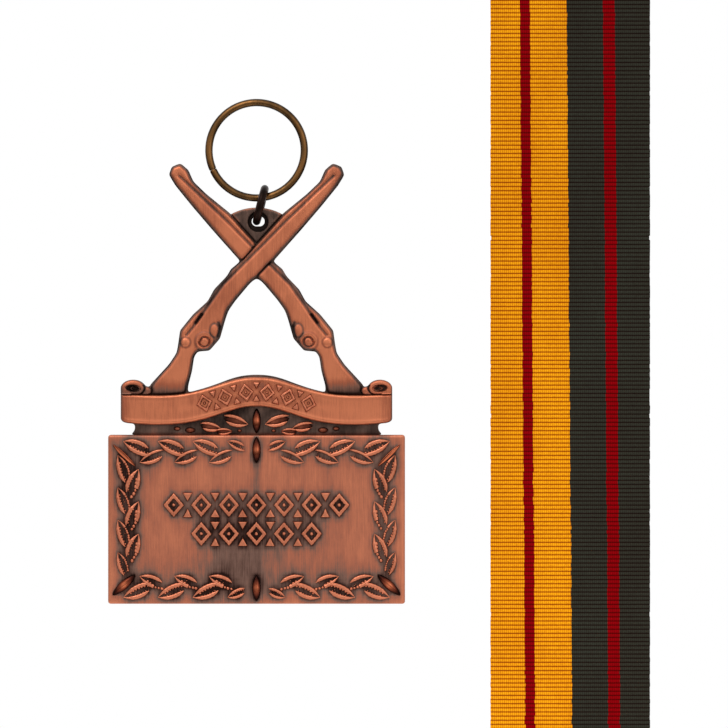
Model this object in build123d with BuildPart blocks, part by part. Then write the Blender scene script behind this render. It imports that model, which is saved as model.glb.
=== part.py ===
"""Military service medal: a die-cast badge hung from a wire ring by a jump ring, with its ribbon beside it.

The badge hangs in the XZ plane with its face towards -Y.  The origin is the hang point, where the
inside top of the suspension ring bears on whatever holds it.
"""

import math
import os

from build123d import *

# ---- Suspension ring and jump ring ----
ring_wire = 1.5
ring_inner_radius = 8.8
ring_joint_angle = 114.0
ring_joint_gap = 0.06
link_wire = 1.6
link_inner_radius = 2.55
link_lean = 14.0
link_joint_angle = 70.0
link_joint_gap = 0.05
link_play = 0.1
swing_angle = 75.0

# ---- Lug between the barrels ----
lug_thickness = 1.2
lug_radius = 10.6
lug_rim = 1.5
lug_hole_play = 0.25
lug_bearing_gap = 0.15
lug_dish_radius = 2.1
lug_dish_depth = 0.45
lug_half_angle = 46.0

# ---- Depths, measured from the mid plane: minus is towards the viewer ----
back_depth = 1.4
ground_depth = -0.3
panel_depth = -1.3
rifle_depth = -1.7
banner_depth = -1.8
curl_depth = -2.0
leaf_height = 0.45
frieze_height = 0.5
olive_height = 0.4

# ---- Crossed rifles, drawn from the crossing with the muzzle at the top right ----
rifle_length = 55.6
rifle_drawn_length = 55.6
crossing_to_panel = 34.9
rifle_corner_round = 0.45
plate_margin = 0.25
rifle_upper_edge = [
    (13.9, 18.0), (12.9, 15.7), (10.2, 13.1), (5.5, 9.3), (-3.2, -0.4), (-5.0, -1.9), (-5.7, -3.2),
    (-8.3, -5.9), (-9.6, -8.3), (-12.5, -10.9), (-15.1, -14.1), (-15.5, -17.0), (-15.8, -18.6),
    (-17.4, -21.0), (-21.0, -24.9), (-22.6, -28.9),
]
rifle_lower_edge = [
    (-14.2, -28.9), (-14.0, -25.0), (-13.2, -22.0), (-12.8, -19.2), (-12.0, -18.0), (-9.6, -17.8),
    (-7.6, -15.5), (-6.5, -11.6), (-5.9, -9.9), (-4.5, -7.9), (-1.4, -4.2), (0.1, -3.1), (3.7, 0.7),
    (8.5, 6.1), (12.7, 11.0), (16.1, 15.2), (17.3, 17.2), (16.8, 18.6), (15.3, 19.2),
]

# ---- Scroll banner, drawn up from the panel's top edge ----
banner_width = 54.3
banner_drawn_width = 54.3
banner_top_edge = [(-1.0, 8.2), (-0.77, 8.0), (-0.52, 8.4), (-0.28, 10.1), (0.0, 11.6)]
banner_bottom_edge = [(0.0, 5.7), (-0.26, 4.2), (-0.45, 2.7), (-0.68, 2.0), (-0.93, 2.3), (-1.0, 3.3)]
curl_roll_width = 4.9
curl_height = 3.4
curl_rise = 9.35
curl_wall = 0.8
curl_bore_height = 1.0
curl_bore_depth = 0.9
curl_tail_length = 2.3
curl_tail_height = 1.7
curl_tail_drop = 0.5
curl_tail_lap = 1.0
ground_width = 48.7
ground_top = 7.0
ground_flare = 0.9
plate_sliver = 0.45
sliver_reach = 0.6

# ---- Inscription panel and its leaf border ----
panel_width = 59.4
panel_height = 33.8
panel_corner_round = 0.5
panel_edge_round = 0.45
leaf_length = 5.9
leaf_short_ridge = 0.89
leaf_fork = 0.26
leaf_half_opening = 8.5
leaf_lean = 21.5
leaf_ridge = 0.62
leaf_bulge = 0.34
leaf_end_width = 0.75
leaf_end_round = 0.3
leaf_inner_bulge = 0.55
outer_leaves = 4
border_first_tip = 3.1
border_last_gap = 1.9
border_last_leaf = 0.66
border_inner_leaf = 0.9
border_inner_stagger = 0.47
border_outer_row = 1.3
border_inner_row = 5.5
column_first_tip = 4.1
column_foot = 4.4
column_outer_row = 2.0
column_inner_row = 6.1
column_outer_leaf = 0.93
column_last_leaf = 0.8
column_inner_stagger = 0.43
border_band = 7.4

# ---- Spindles ----
spindle_length = 5.3
crest_spindle_length = 5.0
spindle_width = 1.7
corner_spindle_length = 6.2
corner_spindle_width = 1.75
corner_spindle_turn = 42.0
corner_spindle_lift = 0.6
thin_spindle_length = 6.3
thin_spindle_width = 0.9
thin_spindle_turn = 44.0
thin_spindle_drop = 0.9
corner_spindle_inset = 3.2
centre_spindle_inset = 3.0
foot_spindle_inset = 3.15
crest_spindle_rise = 2.8

# ---- Friezes: lozenges and darts ----
frieze_band = 5.0
frieze_row_pitch = 5.75
frieze_margin = 3.0
frieze_stroke = 0.8
frieze_lozenge = 0.39
dart_half_width = 1.3
dart_tip = 0.25
upper_motifs = 7
lower_motifs = 5
banner_motifs = 6
banner_frieze_width = 25.6
banner_frieze_band = 3.8
banner_frieze_stroke = 0.6
banner_frieze_line = [(0.0, 8.65), (0.28, 7.15), (0.52, 5.5)]

# ---- Olive sprays on the ground below the banner: outward x, height above the panel, lean, scale ----
olive_leaves = [(1.7, 2.1, 14.0, 0.855), (7.1, 1.25, 8.0, 0.72), (4.9, 0.75, -4.0, 0.54)]
olive_berries = [(13.3, 0.95, 2.2, 1.2), (15.9, 1.25, 1.5, 0.9), (3.4, 0.85, 1.0, 0.65)]

# ---- Ribbon beside the badge ----
ribbon_width = 32.0
ribbon_length = 152.4
ribbon_thickness = 0.5
ribbon_clearance = 17.1
ribbon_rise = 24.5

# ---- Heights that follow from the chain of rings ----
ring_centre_z = -ring_inner_radius
ring_centreline = ring_inner_radius + ring_wire / 2
link_centreline = link_inner_radius + link_wire / 2
link_centre_x = link_centreline * math.sin(math.radians(link_lean))
link_drop = link_centreline * math.cos(math.radians(link_lean))
link_top_reach = ring_inner_radius - link_wire / 2 - link_play
link_top_z = ring_centre_z - math.sqrt(link_top_reach**2 - (2 * link_centre_x) ** 2)
link_centre_z = link_top_z - link_drop
link_travel = link_centre_x * (1 - math.cos(math.radians(swing_angle)))
lug_hole_x = link_travel / 2
lug_hole_radius = (link_wire + link_travel) / 2 + lug_hole_play
lug_hole_z = link_centre_z - link_drop - (lug_hole_play - lug_bearing_gap)
crossing_z = lug_hole_z + lug_hole_radius + lug_rim - lug_radius
rifle_scale = rifle_length / rifle_drawn_length
panel_top_z = crossing_z - crossing_to_panel * rifle_scale
panel_centre_z = panel_top_z - panel_height / 2
panel_bottom_z = panel_top_z - panel_height
half_banner = banner_width / 2
spray_scale = banner_width / banner_drawn_width
curl_roll_x = half_banner - curl_roll_width / 2
curl_tail_x = half_banner - curl_roll_width - curl_tail_length / 2 + curl_tail_lap
curl_z = panel_top_z + curl_rise
banner_middle = (banner_top_edge[0][1] + banner_bottom_edge[-2][1]) / 2


def front(x=0.0, z=0.0, depth=0.0, turn=0.0):
    """A plane facing the viewer: local x to the right and local y up, turned anticlockwise by turn."""
    along = (math.cos(math.radians(turn)), 0, math.sin(math.radians(turn)))
    return Plane(origin=(x, depth, z), x_dir=along, z_dir=(0, -1, 0))


def polar(radius, angle):
    return (radius * math.cos(math.radians(angle)), radius * math.sin(math.radians(angle)))


def write(part, label):
    part.label = label
    export_step(part, f"parts/{label}.step")


def rifle_points(side):
    drawn = rifle_upper_edge + rifle_lower_edge
    return [(side * x * rifle_scale, z * rifle_scale) for x, z in drawn]


def draw_rifle(side, grow=0.0):
    """One rifle's silhouette about the crossing: side is 1 with the muzzle to the right, -1 to the left."""
    with BuildSketch(Plane.XY, mode=Mode.PRIVATE) as silhouette:
        with BuildLine():
            Polyline(rifle_points(side), close=True)
        make_face()
        fillet(silhouette.vertices(), radius=rifle_corner_round)
        if grow:
            offset(amount=grow, mode=Mode.REPLACE)
    return silhouette.sketch


def draw_banner(arch_lift=0.0):
    """The banner's wavy outline above the panel's top edge, its arch lifted by arch_lift in the middle."""
    top = [(half_banner * x, z + arch_lift * max(0.0, 1 + x / sliver_reach)) for x, z in banner_top_edge]
    bottom = [(half_banner * x, z) for x, z in banner_bottom_edge]
    with BuildSketch(Plane.XY, mode=Mode.PRIVATE) as outline:
        with BuildLine():
            Spline(top, tangents=((1, 0), (1, 0)))
            Spline(bottom, tangents=((-1, 0), (-0.2, 1)))
            Line(bottom[-1], top[0])
            Line(top[-1], bottom[0])
        make_face()
        mirror(about=Plane.YZ)
    return outline.sketch


def draw_curl(side):
    """A rolled banner end: an oval roll, a short tail on its inner side, and the web down to the banner."""
    tail_z = curl_rise - curl_tail_drop
    with BuildSketch(Plane.XY, mode=Mode.PRIVATE) as outline:
        with Locations((side * curl_roll_x, curl_rise)):
            Ellipse(curl_roll_width / 2, curl_height / 2)
        with Locations((side * curl_tail_x, tail_z)):
            Ellipse(curl_tail_length / 2, curl_tail_height / 2)
        with BuildLine():
            Polyline(
                (side * half_banner, banner_middle), (side * half_banner, curl_rise),
                (side * curl_roll_x, curl_rise), (side * curl_roll_x, tail_z),
                (side * curl_tail_x, tail_z), (side * curl_tail_x, banner_middle), close=True,
            )
        make_face()
    return outline.sketch


def draw_butt_stop(side):
    """What a rifle butt ends against: the banner, its curl, and all that is outside and below them."""
    far = rifle_length
    with BuildSketch(Plane.XY, mode=Mode.PRIVATE) as stop:
        add(draw_banner())
        add(draw_curl(side))
        with BuildLine():
            Polyline(
                (0, -far), (side * far, -far), (side * far, curl_rise), (side * curl_roll_x, curl_rise),
                (side * curl_roll_x, banner_middle), (0, banner_middle), close=True,
            )
        make_face()
    return stop.sketch


def ring_solid(centre, top, normal, centreline, wire, joint_angle, joint_gap):
    """A round wire bent into one turn, its ends meeting at joint_angle from the top direction."""
    across = Vector(*top).cross(Vector(*normal))
    with BuildPart() as ring:
        with BuildSketch(Plane(origin=centre, x_dir=top, z_dir=across)):
            with Locations((centreline, 0)):
                Circle(wire / 2)
        revolve(axis=Axis(centre, normal))
        cut = Plane(origin=centre, x_dir=top, z_dir=normal)
        with BuildSketch(cut.offset(-wire)):
            with Locations(Location((0, 0, 0), (0, 0, joint_angle))):
                Rectangle(centreline + wire, joint_gap, align=(Align.MIN, Align.CENTER))
        extrude(amount=2 * wire, mode=Mode.SUBTRACT)
    return ring.part


def draw_leaf(hand, size):
    """Two ridges that part along local x from one tip at the origin; hand puts the longer one up."""
    length = leaf_length * size
    ridge = leaf_ridge * size
    bulge = leaf_bulge * size
    fork = (leaf_fork * length, 0)
    long_end = Vector(*polar(length, leaf_half_opening))
    short_end = Vector(*polar(length * leaf_short_ridge, -leaf_half_opening))
    long_side = Vector(*polar(1, leaf_half_opening + 90))
    short_side = Vector(*polar(1, -leaf_half_opening - 90))
    with BuildSketch(Plane.XY, mode=Mode.PRIVATE) as leaf:
        with BuildLine():
            for end, side in ((long_end, long_side), (short_end, short_side)):
                inner_end = end - side * ridge * leaf_end_width
                inner_middle = (Vector(*fork) + inner_end) / 2 + side * bulge * leaf_inner_bulge
                end_middle = (end + inner_end) / 2 + end.normalized() * ridge * leaf_end_round
                ThreePointArc((0, 0), end / 2 + side * bulge, end)
                ThreePointArc(end, end_middle, inner_end)
                ThreePointArc(inner_end, inner_middle, fork)
        make_face()
        if hand < 0:
            mirror(about=Plane.XZ, mode=Mode.REPLACE)
    return leaf.sketch


def leaf_group(leaves, label):
    """Leaves on the panel's face: each is its tip's x and z from the panel's centre, turn, hand and size."""
    with BuildPart() as group:
        with BuildSketch(front(0, panel_centre_z, panel_depth)):
            for x, z, turn, hand, size in leaves:
                with Locations(Location((x, z, 0), (0, 0, turn))):
                    add(draw_leaf(hand, size))
        extrude(amount=leaf_height)
    write(group.part, label)


def border_row(side, rise):
    """One half of the top (rise 1) or bottom (rise -1) border: its tips point at the corner."""
    half_width = panel_width / 2
    half_height = panel_height / 2
    run = half_width - border_first_tip - border_last_gap - leaf_length * border_last_leaf
    pitch = run / (outer_leaves - 1)
    inwards = 180 if side > 0 else 0
    hand = side * rise
    outer_z = rise * (half_height - border_outer_row)
    inner_z = rise * (half_height - border_inner_row)
    leaves = []
    for n in range(outer_leaves):
        x = side * (half_width - border_first_tip - n * pitch)
        size = border_last_leaf if n == outer_leaves - 1 else 1.0
        leaves.append((x, outer_z, inwards + hand * leaf_lean, hand, size))
    for n in range(outer_leaves - 1):
        x = side * (half_width - border_first_tip - (n + border_inner_stagger) * pitch)
        leaves.append((x, inner_z, inwards - hand * leaf_lean, -hand, border_inner_leaf))
    return leaves


def border_column(side):
    """One side border: its tips point up, the outer leaves leaning in and the inner leaves leaning out."""
    half_width = panel_width / 2
    half_height = panel_height / 2
    pitch = (panel_height - column_first_tip - column_foot - leaf_length) / (outer_leaves - 1)
    leaves = []
    for n in range(outer_leaves):
        z = half_height - column_first_tip - n * pitch
        size = column_last_leaf if n == outer_leaves - 1 else column_outer_leaf
        leaves.append((side * (half_width - column_outer_row), z, -90 - side * leaf_lean, side, size))
    for n in range(outer_leaves - 1):
        z = half_height - column_first_tip - (n + column_inner_stagger) * pitch
        leaves.append((side * (half_width - column_inner_row), z, -90 + side * leaf_lean, -side, 1.0))
    return leaves


def spindle(x, z, depth, turn, length, width, label):
    """A polished bead, pointed at both ends, standing half proud of the face at depth."""
    plane = front(x, z, depth, turn)
    with BuildPart() as bead:
        with BuildSketch(plane):
            with BuildLine():
                ThreePointArc((-length / 2, 0), (0, width / 2), (length / 2, 0))
                Line((length / 2, 0), (-length / 2, 0))
            make_face()
        revolve(axis=Axis(plane.origin, plane.x_dir), revolution_arc=180)
    write(bead.part, label)


def draw_lozenge(pitch, band, stroke):
    """A lozenge frame with a round boss in it."""
    half = pitch * frieze_lozenge
    with BuildSketch(Plane.XY, mode=Mode.PRIVATE) as lozenge:
        with BuildLine():
            Polyline((-half, 0), (0, band / 2), (half, 0), (0, -band / 2), close=True)
        make_face()
        offset(amount=-stroke, kind=Kind.INTERSECTION, mode=Mode.SUBTRACT)
        Circle(stroke / 2)
    return lozenge.sketch


def draw_darts(band, stroke):
    """Two triangular darts, one from each edge of the band, pointing at each other."""
    with BuildSketch(Plane.XY, mode=Mode.PRIVATE) as darts:
        for edge in (-band / 2, band / 2):
            with BuildLine():
                half = dart_half_width * stroke
                Polyline((-half, edge), (half, edge), (0, edge * dart_tip), close=True)
            make_face()
    return darts.sketch


def frieze(z, width, count, label):
    pitch = width / count
    with BuildPart() as row:
        with BuildSketch(front(0, z, panel_depth)):
            with GridLocations(pitch, 1, count, 1):
                add(draw_lozenge(pitch, frieze_band, frieze_stroke))
            with GridLocations(pitch, 1, count - 1, 1):
                add(draw_darts(frieze_band, frieze_stroke))
        extrude(amount=frieze_height)
    write(row.part, label)


os.makedirs("parts", exist_ok=True)

# ---- Suspension ring and jump ring ----
lean = math.radians(link_lean)
link_top = (math.sin(lean), 0, math.cos(lean))
link_normal = (math.cos(lean), 0, -math.sin(lean))
write(
    ring_solid((0, 0, ring_centre_z), (0, 0, 1), (0, -1, 0), ring_centreline, ring_wire,
               ring_joint_angle, ring_joint_gap),
    "suspension_ring",
)
write(
    ring_solid((link_centre_x, 0, link_centre_z), link_top, link_normal, link_centreline, link_wire,
               link_joint_angle, link_joint_gap),
    "jump_ring",
)

# ---- Base plate: the cast back behind the rifles, the banner and the ground ----
with BuildPart() as base_plate:
    with BuildSketch(front(0, crossing_z, back_depth)):
        add(draw_rifle(1, plate_margin))
        add(draw_rifle(-1, plate_margin))
    extrude(amount=back_depth - ground_depth)
    with BuildSketch(front(0, panel_top_z, back_depth)):
        add(draw_banner())
        add(draw_banner(plate_sliver))
        add(draw_curl(-1))
        add(draw_curl(1))
        with BuildLine():
            Polyline(
                (-ground_width / 2 - ground_flare, 0), (ground_width / 2 + ground_flare, 0),
                (ground_width / 2, ground_flare), (ground_width / 2, ground_top),
                (-ground_width / 2, ground_top), (-ground_width / 2, ground_flare), close=True,
            )
        make_face()
    extrude(amount=back_depth - ground_depth)
write(base_plate.part, "base_plate")

# ---- Inscription panel ----
with BuildPart() as inscription_panel:
    with BuildSketch(front(0, panel_centre_z, back_depth)):
        RectangleRounded(panel_width, panel_height, panel_corner_round)
    extrude(amount=back_depth - panel_depth)
    fillet(inscription_panel.faces().sort_by(Axis.Y)[0].edges(), radius=panel_edge_round)
write(inscription_panel.part, "inscription_panel")

# ---- Lug: a sector between the barrels, centred on the crossing, with a dished hole ----
with BuildPart() as suspension_lug:
    with BuildSketch(front(0, crossing_z, lug_thickness / 2)):
        Circle(lug_radius)
        with BuildLine():
            Polyline(
                (0, 0),
                polar(2 * lug_radius, 90 - lug_half_angle),
                polar(2 * lug_radius, 90 + lug_half_angle),
                close=True,
            )
        make_face(mode=Mode.INTERSECT)
        add(draw_rifle(1, plate_margin), mode=Mode.SUBTRACT)
        add(draw_rifle(-1, plate_margin), mode=Mode.SUBTRACT)
        with Locations((lug_hole_x, lug_hole_z - crossing_z)):
            Circle(lug_hole_radius, mode=Mode.SUBTRACT)
    extrude(amount=lug_thickness)
    with BuildSketch(front(lug_hole_x, lug_hole_z, -lug_thickness / 2)):
        Circle(lug_dish_radius)
    with BuildSketch(front(lug_hole_x, lug_hole_z, lug_dish_depth - lug_thickness / 2)):
        Circle(lug_hole_radius)
    loft(mode=Mode.SUBTRACT)
write(suspension_lug.part, "suspension_lug")

# ---- Rifles: the one that crosses on top, then the one it interrupts ----
with BuildPart() as rifle_over:
    with BuildSketch(front(0, crossing_z, ground_depth)):
        add(draw_rifle(1))
    extrude(amount=ground_depth - rifle_depth)
    with BuildSketch(front(0, panel_top_z, ground_depth)):
        add(draw_butt_stop(-1))
    extrude(amount=ground_depth - rifle_depth, mode=Mode.SUBTRACT)
write(rifle_over.part, "rifle_over")

with BuildPart() as rifle_under:
    with BuildSketch(front(0, crossing_z, ground_depth)):
        add(draw_rifle(-1))
        add(draw_rifle(1), mode=Mode.SUBTRACT)
    extrude(amount=ground_depth - rifle_depth)
    with BuildSketch(front(0, panel_top_z, ground_depth)):
        add(draw_butt_stop(1))
    extrude(amount=ground_depth - rifle_depth, mode=Mode.SUBTRACT)
write(rifle_under.part, "rifle_under")

# ---- Scroll banner and its rolled ends ----
with BuildPart() as scroll_banner:
    with BuildSketch(front(0, panel_top_z, ground_depth)):
        add(draw_banner())
    extrude(amount=ground_depth - banner_depth)
write(scroll_banner.part, "scroll_banner")

for side, name in ((-1, "left"), (1, "right")):
    with BuildPart() as curl:
        with BuildSketch(front(0, panel_top_z, ground_depth)):
            add(draw_curl(side))
            add(draw_banner(), mode=Mode.SUBTRACT)
        extrude(amount=ground_depth - curl_depth)
        with BuildSketch(front(side * curl_roll_x, curl_z, curl_depth + curl_bore_depth)):
            Ellipse(curl_roll_width / 2 - curl_wall, curl_bore_height / 2)
        extrude(amount=curl_bore_depth, mode=Mode.SUBTRACT)
    write(curl.part, f"scroll_curl_{name}")

# ---- Leaf border ----
leaf_group(border_row(-1, 1), "leaves_top_left")
leaf_group(border_row(1, 1), "leaves_top_right")
leaf_group(border_row(-1, -1), "leaves_bottom_left")
leaf_group(border_row(1, -1), "leaves_bottom_right")
leaf_group(border_column(-1), "leaves_side_left")
leaf_group(border_column(1), "leaves_side_right")

# ---- Olive sprays on the ground ----
for side, name in ((-1, "left"), (1, "right")):
    with BuildPart() as spray:
        with BuildSketch(front(0, panel_top_z, ground_depth)):
            for x, z, rise, size in olive_leaves:
                turn = rise if side > 0 else 180 - rise
                with Locations(Location((side * x * spray_scale, z, 0), (0, 0, turn))):
                    add(draw_leaf(side, size * spray_scale))
            for x, z, width, height in olive_berries:
                with Locations((side * x * spray_scale, z)):
                    Ellipse(width / 2, height / 2)
        extrude(amount=olive_height)
    write(spray.part, f"olive_spray_{name}")

# ---- Spindles ----
spindle(0, panel_top_z + crest_spindle_rise, ground_depth, 90, crest_spindle_length, spindle_width,
        "spindle_crest")
spindle(0, panel_top_z - centre_spindle_inset, panel_depth, 90, spindle_length, spindle_width,
        "spindle_panel_top")
spindle(0, panel_bottom_z + foot_spindle_inset, panel_depth, 90, spindle_length, spindle_width,
        "spindle_panel_bottom")
for side, name in ((-1, "left"), (1, "right")):
    x = side * (panel_width / 2 - corner_spindle_inset)
    low_z = panel_bottom_z + corner_spindle_inset + corner_spindle_lift
    high_z = panel_top_z - corner_spindle_inset - thin_spindle_drop
    spindle(x, low_z, panel_depth, -side * corner_spindle_turn,
            corner_spindle_length, corner_spindle_width, f"spindle_corner_bottom_{name}")
    spindle(x, high_z, panel_depth, side * thin_spindle_turn,
            thin_spindle_length, thin_spindle_width, f"spindle_corner_top_{name}")

# ---- Friezes ----
upper_width = panel_width - 2 * border_band - 2 * frieze_margin
lower_width = upper_width * lower_motifs / upper_motifs
frieze(panel_centre_z + frieze_row_pitch / 2, upper_width, upper_motifs, "panel_frieze_upper")
frieze(panel_centre_z - frieze_row_pitch / 2, lower_width, lower_motifs, "panel_frieze_lower")

banner_pitch = banner_frieze_width / banner_motifs
with BuildPart() as banner_frieze:
    left_half = [(-half_banner * x, z) for x, z in reversed(banner_frieze_line)]
    right_half = [(half_banner * x, z) for x, z in banner_frieze_line[1:]]
    with BuildLine(mode=Mode.PRIVATE) as arch:
        Spline(left_half + right_half)
    middle_line = arch.edge()
    with BuildSketch(front(0, panel_top_z, banner_depth)):
        for n in range(2 * banner_motifs - 1):
            along = 0.5 + (n + 1 - banner_motifs) / 2 * banner_pitch / middle_line.length
            place = middle_line.position_at(along)
            turn = middle_line.tangent_angle_at(along)
            with Locations(Location((place.X, place.Y, 0), (0, 0, turn))):
                if n % 2 == 0:
                    add(draw_lozenge(banner_pitch, banner_frieze_band, banner_frieze_stroke))
                else:
                    add(draw_darts(banner_frieze_band, banner_frieze_stroke))
    extrude(amount=frieze_height)
write(banner_frieze.part, "banner_frieze")

# ---- Ribbon ----
ribbon_x = panel_width / 2 + ribbon_clearance + ribbon_width / 2
with BuildPart() as ribbon:
    with Locations((ribbon_x, 0, ribbon_rise - ribbon_length / 2)):
        Box(ribbon_width, ribbon_thickness, ribbon_length)
write(ribbon.part, "ribbon")
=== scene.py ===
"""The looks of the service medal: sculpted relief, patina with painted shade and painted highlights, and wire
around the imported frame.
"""

import math

import bpy
import numpy as np
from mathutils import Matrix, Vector, geometry


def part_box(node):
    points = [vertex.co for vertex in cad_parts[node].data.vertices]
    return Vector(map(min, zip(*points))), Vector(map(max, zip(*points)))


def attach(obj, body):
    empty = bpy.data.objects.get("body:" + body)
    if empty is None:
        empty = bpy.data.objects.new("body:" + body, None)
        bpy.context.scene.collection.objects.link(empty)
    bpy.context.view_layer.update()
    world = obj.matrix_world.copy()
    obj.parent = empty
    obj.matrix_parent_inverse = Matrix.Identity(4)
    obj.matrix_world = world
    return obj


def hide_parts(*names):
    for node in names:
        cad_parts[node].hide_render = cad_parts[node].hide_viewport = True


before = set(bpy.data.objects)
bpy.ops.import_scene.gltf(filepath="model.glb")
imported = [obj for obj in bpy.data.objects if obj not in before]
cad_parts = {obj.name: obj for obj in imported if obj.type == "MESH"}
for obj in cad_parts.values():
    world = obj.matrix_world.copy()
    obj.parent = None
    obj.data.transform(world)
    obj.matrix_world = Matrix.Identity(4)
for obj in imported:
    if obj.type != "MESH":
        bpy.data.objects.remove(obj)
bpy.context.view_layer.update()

MM = 0.001
BADGE = "badge"


# ------------------------------------------------------------------ outlines and distances


def front_loops(node):
    """The closed outlines of a CAD node's front face, as arrays of (x, z) in mm."""
    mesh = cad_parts[node].data
    mesh.calc_loop_triangles()
    points = np.array([v.co for v in mesh.vertices]) / MM
    corners = np.array([t.vertices for t in mesh.loop_triangles])
    welded, back = np.unique(np.round(points, 3), axis=0, return_inverse=True)
    corners = back.reshape(-1)[corners]
    a, b, c = (welded[corners[:, k]] for k in range(3))
    normal = np.cross(b - a, c - a)
    area = np.linalg.norm(normal, axis=1)
    facing = normal[:, 1] < -0.98 * area
    front_y = welded[corners[facing & (area > 0)]][..., 1].min()
    flat = (welded[corners][..., 1] < front_y + 0.02).all(axis=1) & (area > 0)
    following = {}
    edges = {}
    for i, j, k in corners[flat]:
        for edge in ((i, j), (j, k), (k, i)):
            edges[edge] = True
    for i, j in edges:
        if (j, i) not in edges:
            following.setdefault(i, []).append(j)
    loops = []
    while following:
        start = here = next(iter(following))
        loop = []
        while here in following:
            loop.append(here)
            ahead = following[here].pop()
            if not following[here]:
                del following[here]
            here = ahead
            if here == start:
                break
        if len(loop) > 2:
            loops.append(welded[loop][:, [0, 2]])
    return loops


def resample(loop, step):
    """The loop with no side longer than step and no needlessly short ones."""
    kept = [loop[0]]
    for point in loop[1:]:
        if np.linalg.norm(point - kept[-1]) > 0.25 * step:
            kept.append(point)
    out = []
    for here, ahead in zip(kept, kept[1:] + kept[:1]):
        count = max(1, int(np.ceil(np.linalg.norm(ahead - here) / step)))
        for n in range(count):
            out.append(here + (ahead - here) * n / count)
    return np.array(out)


def smooth_loop(loop, step, width):
    """The loop resampled at step with its corners eased over about width."""
    even = resample(loop, step)
    reach = int(3 * width / step)
    weights = np.exp(-0.5 * (np.arange(-reach, reach + 1) * step / width) ** 2)
    weights /= weights.sum()
    return sum(w * np.roll(even, k, axis=0) for w, k in zip(weights, range(-reach, reach + 1)))


def segments(loops):
    starts = np.concatenate(loops)
    ends = np.concatenate([np.roll(loop, -1, axis=0) for loop in loops])
    return starts, ends


def distance(points, starts, ends, chunk=4000):
    """Each point's distance to the nearest of the segments."""
    along = ends - starts
    length = np.maximum((along**2).sum(axis=1), 1e-12)
    out = np.empty(len(points))
    for n in range(0, len(points), chunk):
        offset = points[n : n + chunk, None, :] - starts[None]
        t = np.clip((offset * along[None]).sum(axis=2) / length, 0, 1)
        gap = offset - t[..., None] * along[None]
        out[n : n + chunk] = np.sqrt((gap**2).sum(axis=2).min(axis=1))
    return out


def inside(points, loops, chunk=4000):
    """Even-odd test of points against closed loops."""
    starts, ends = segments(loops)
    out = np.zeros(len(points), bool)
    rise = ends[:, 1] - starts[:, 1]
    rise = np.where(np.abs(rise) < 1e-12, 1e-12, rise)
    for n in range(0, len(points), chunk):
        x = points[n : n + chunk, 0:1]
        z = points[n : n + chunk, 1:2]
        spans = (starts[None, :, 1] > z) != (ends[None, :, 1] > z)
        crossing = starts[None, :, 0] + (z - starts[None, :, 1]) * (ends - starts)[None, :, 0] / rise[None]
        out[n : n + chunk] = (np.sum(spans & (x < crossing), axis=1) % 2) == 1
    return out


def triangulate(points, boundary_edges, loops):
    """Triangles of the points that keep the boundary edges and lie within the loops."""
    found = geometry.delaunay_2d_cdt([Vector(p) for p in points], boundary_edges, [], 0, 1e-7)
    corners = np.array(found[2])
    place = np.array([v[:] for v in found[0]])
    names = np.array([origin[0] if origin else -1 for origin in found[3]])
    corners = corners[(names[corners] >= 0).all(axis=1)]
    middle = place[corners].mean(axis=1)
    return names[corners[inside(middle, loops)]]


ROW_SHARE = 0.866
EDGE_SHARE = 0.55


def fill(loops, step):
    """Boundary points, their edges, and an even grid of inner points, triangulated."""
    loops = [resample(loop, step) for loop in loops]
    boundary = np.concatenate(loops)
    edges = []
    first = 0
    for loop in loops:
        count = len(loop)
        edges += [(first + n, first + (n + 1) % count) for n in range(count)]
        first += count
    low, high = boundary.min(axis=0), boundary.max(axis=0)
    columns = np.arange(low[0], high[0], step)
    rows = np.arange(low[1], high[1], step * ROW_SHARE)
    grid = np.array([(x + (0.5 * step if n % 2 else 0), z) for n, z in enumerate(rows) for x in columns])
    starts, ends = segments(loops)
    grid = grid[inside(grid, loops)]
    gap = distance(grid, starts, ends)
    clear = gap > EDGE_SHARE * step
    grid, gap = grid[clear], gap[clear]
    points = np.concatenate([boundary, grid])
    gaps = np.concatenate([np.zeros(len(boundary)), gap])
    front = triangulate(points, edges, loops)
    rear = triangulate(boundary, edges, loops)
    return points, gaps, len(boundary), front, rear


def rounded(gap, radius):
    """0 at an edge, rising on a quarter circle to 1 at radius."""
    t = 1 - np.clip(gap / radius, 0, 1)
    return np.sqrt(np.clip(1 - t * t, 0, 1))


def ripple(points, scale_x, scale_z, seed):
    """Smooth noise from -1 to 1 over (x, z): a fixed sum of sines with seeded phases."""
    random = np.random.default_rng(seed)
    total = np.zeros(len(points))
    for _ in range(7):
        fx, fz = random.normal(0, 1 / scale_x), random.normal(0, 1 / scale_z)
        total += np.sin(points[:, 0] * fx + points[:, 1] * fz + random.uniform(0, 2 * math.pi))
    return total / 7**0.5 / 1.2


# ------------------------------------------------------------------ mesh objects

relief_samples = []


def make_object(name, verts, faces, material, sharp=35):
    mesh = bpy.data.meshes.new(name)
    corners = [tuple(v) for v in np.asarray(verts) * MM]
    mesh.from_pydata(corners, [], [tuple(int(i) for i in f) for f in faces])
    mesh.validate()
    mesh.polygons.foreach_set("use_smooth", [True] * len(mesh.polygons))
    mesh.set_sharp_from_angle(angle=math.radians(sharp))
    mesh.materials.append(material)
    obj = bpy.data.objects.new(name, mesh)
    bpy.context.scene.collection.objects.link(obj)
    return obj


def paint(obj, values, attribute="patina_and_shade"):
    layer = obj.data.attributes.new(attribute, "FLOAT", "POINT")
    layer.data.foreach_set("value", np.asarray(values, np.float32))


def place(obj, body, slot, *nodes):
    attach(obj, body)
    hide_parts(*nodes)


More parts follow.
